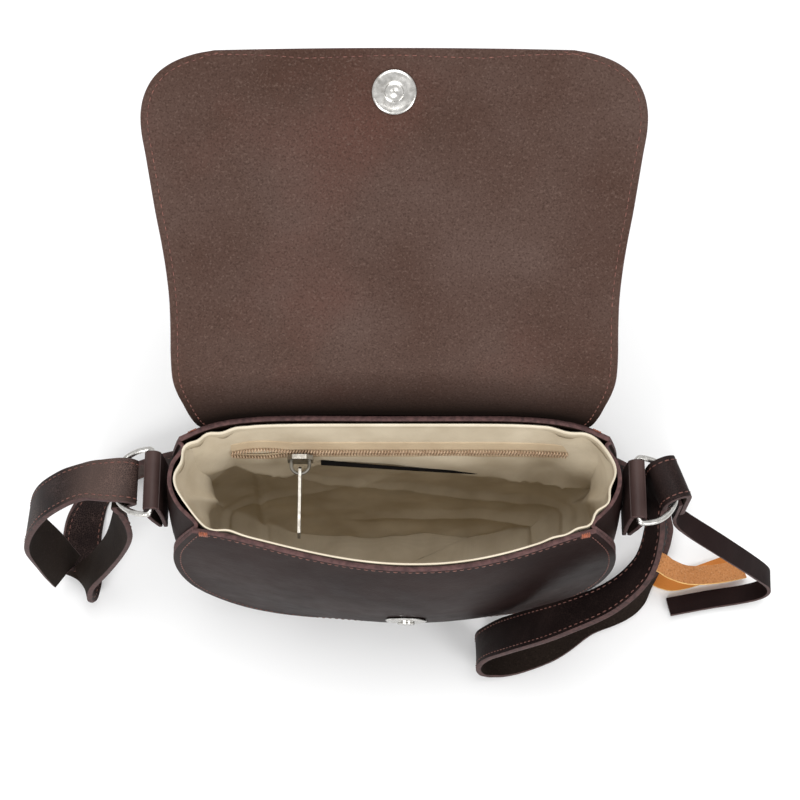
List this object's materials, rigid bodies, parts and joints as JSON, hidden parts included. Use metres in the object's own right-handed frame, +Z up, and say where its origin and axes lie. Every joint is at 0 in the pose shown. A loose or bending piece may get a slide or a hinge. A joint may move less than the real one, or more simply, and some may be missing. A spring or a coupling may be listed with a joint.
{
  "type": "crossbody bag",
  "caption": "Soft leather crossbody bag standing open, its stitched flap thrown back from a cotton-lined pouch with an inner zip pocket, and its strap lying round it.",
  "frame": {"origin": "middle of the flat underside of the base", "axes": "+X to the right of the bag's front, +Y towards its back, +Z up"},
  "size_m": [0.4058, 0.2394, 0.2889],
  "materials": {
    "leather_body": "smooth, waxed, soft sheen",
    "leather_flap": "flesh side, fine nap",
    "leather_strap": "waxed, crackled",
    "leather_tan": "raw vegetable tan",
    "lining": "plain cotton weave",
    "zip_tape": "woven tape with a coil",
    "label": "plain black tape",
    "nickel": "polished nickel"
  },
  "bodies": {
    "bag": {"front_panel": "leather_body", "back_panel": "leather_body", "gusset": "leather_body", "lace": "leather_body", "flap": "leather_flap", "tab_left": "leather_strap", "tab_right": "leather_strap", "strap": "leather_strap", "keeper": "leather_tan", "lining": "lining", "zip_half_upper": "zip_tape", "zip_half_lower": "zip_tape", "label_edge": "label", "snap_stud": "nickel", "snap_socket": "nickel", "zip_slider": "nickel", "ring_left": "nickel", "ring_right": "nickel"},
    "zip_pull": {"zip_pull": "nickel"}
  },
  "joints": [
    {"name": "pull_swing", "type": "hinge", "parent": "bag", "child": "zip_pull", "pos_m": [-0.048, 0.01891, 0.143], "axis": [0, 0, 1], "range_deg": [-75, 75]}
  ]
}
